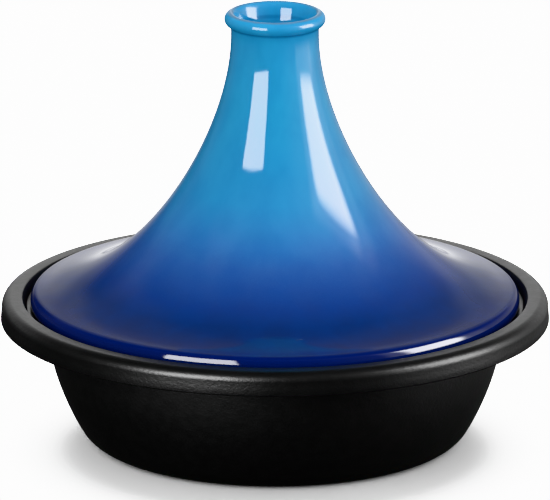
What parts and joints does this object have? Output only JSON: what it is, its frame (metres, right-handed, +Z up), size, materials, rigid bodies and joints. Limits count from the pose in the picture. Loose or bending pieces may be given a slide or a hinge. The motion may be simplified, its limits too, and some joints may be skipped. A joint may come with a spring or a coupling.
{
  "type": "tagine pot",
  "caption": "Low round enamelled cast-iron dish with a wide rim, under a tall glazed stoneware cone lid with a ringed neck.",
  "frame": {"origin": "on the surface that the pot stands on, at the centre of the dish's foot", "axes": "+Z up along the common axis of dish and lid; X and Y are level, and any turn about Z is the same because both pieces are round"},
  "size_m": [0.31, 0.31, 0.248],
  "materials": {
    "black_enamel": "satin black enamel with a fine pebbled skin",
    "blue_glaze": "glossy glaze, azure at the neck running to cobalt at the lip"
  },
  "bodies": {
    "dish": {"dish": "black_enamel"},
    "lid": {"lid": "blue_glaze"}
  },
  "joints": [
    {"name": "lid_lift", "type": "slide", "parent": "dish", "child": "lid", "axis": [0, 0, 1], "range_m": [0, 0.15]}
  ]
}
